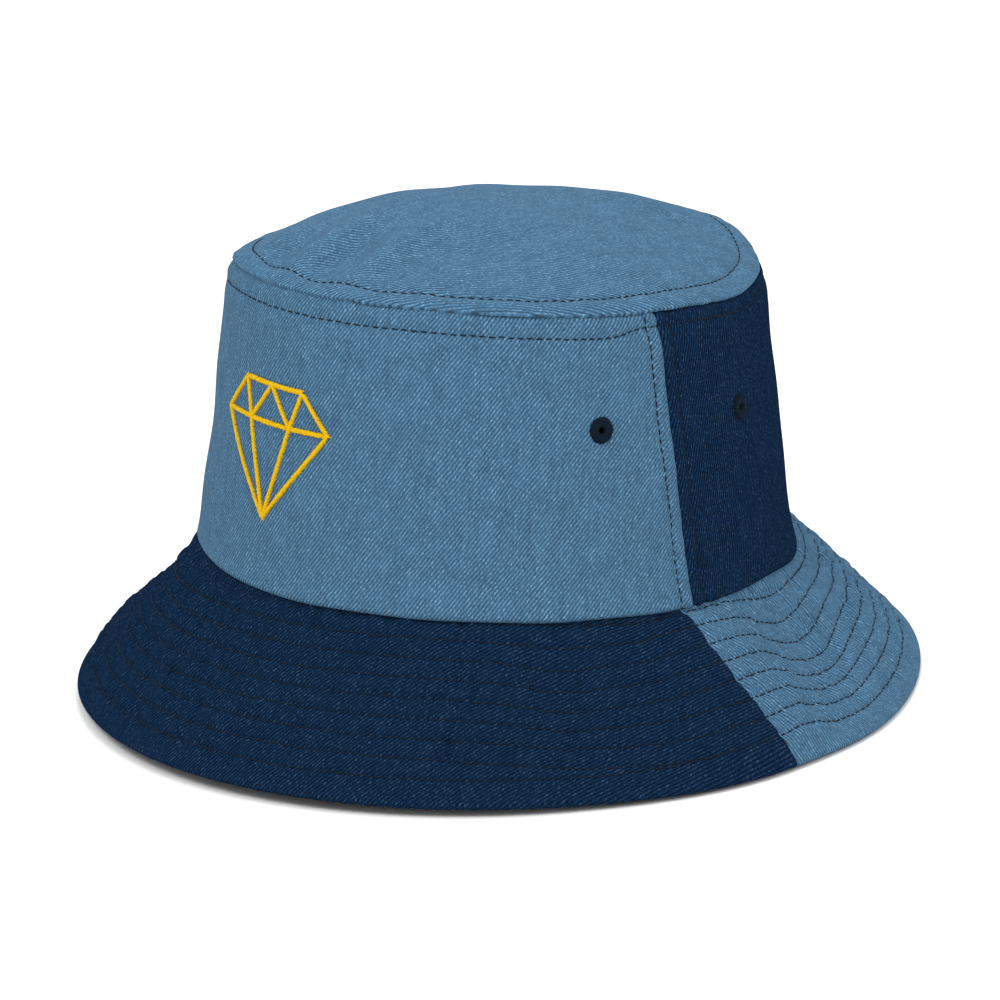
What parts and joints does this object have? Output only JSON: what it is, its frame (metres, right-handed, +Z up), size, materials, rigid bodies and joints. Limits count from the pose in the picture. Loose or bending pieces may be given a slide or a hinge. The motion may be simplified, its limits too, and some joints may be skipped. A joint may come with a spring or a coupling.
{
  "type": "bucket hat",
  "caption": "Denim bucket hat with a soft oval crown, two-tone panels, a quilted sloping brim, sewn vent eyelets and a small embroidered gem on the front.",
  "frame": {"origin": "on the surface that the brim rests on, under the middle of the oval crown", "axes": "+Z up through the crown, +Y towards the back of the hat (the front faces -Y), +X towards the wearer's left"},
  "size_m": [0.2502, 0.2796, 0.146],
  "materials": {
    "light_denim": "washed light blue denim twill",
    "dark_denim": "dark navy denim twill",
    "interlining": "stiff off-white non-woven cloth",
    "sweatband_cotton": "navy cotton twill",
    "seam_tape": "navy woven cotton tape",
    "eyelet_thread": "near-black satin-stitched thread",
    "seam_thread": "dark slate sewing thread",
    "yellow_thread": "golden yellow satin-stitched thread",
    "backing": "white tear-away backing",
    "label_satin": "white satin label, blank"
  },
  "bodies": {
    "hat": {"band_topstitch": "seam_thread", "brim_interlining_back": "interlining", "brim_interlining_front": "interlining", "brim_quilting_row_1": "seam_thread", "brim_quilting_row_2": "seam_thread", "brim_quilting_row_3": "seam_thread", "brim_quilting_row_4": "seam_thread", "brim_quilting_row_5": "seam_thread", "brim_quilting_row_6": "seam_thread", "brim_quilting_row_7": "seam_thread", "brim_quilting_row_8": "seam_thread", "brim_top_back": "light_denim", "brim_top_front": "dark_denim", "brim_under_back": "light_denim", "brim_under_front": "dark_denim", "care_label_fold": "label_satin", "crown_tip": "light_denim", "embroidery": "yellow_thread", "embroidery_backing": "backing", "eyelet_left_back": "eyelet_thread", "eyelet_left_front": "eyelet_thread", "eyelet_right_back": "eyelet_thread", "eyelet_right_front": "eyelet_thread", "side_panel_back": "dark_denim", "side_panel_front": "light_denim", "side_seam_tape_left": "seam_tape", "side_seam_tape_right": "seam_tape", "side_topstitch_left_back": "seam_thread", "side_topstitch_left_front": "seam_thread", "side_topstitch_right_back": "seam_thread", "side_topstitch_right_front": "seam_thread", "size_tab": "label_satin", "sweatband": "sweatband_cotton", "sweatband_stitch": "seam_thread", "tip_seam_tape": "seam_tape", "tip_topstitch": "seam_thread"},
    "label": {"care_label": "label_satin"}
  },
  "joints": [
    {"name": "care_label_swing", "type": "hinge", "parent": "hat", "child": "label", "pos_m": [-0.0758, -0.011, 0.084], "axis": [0, -1, 0], "range_deg": [0, 150]}
  ]
}
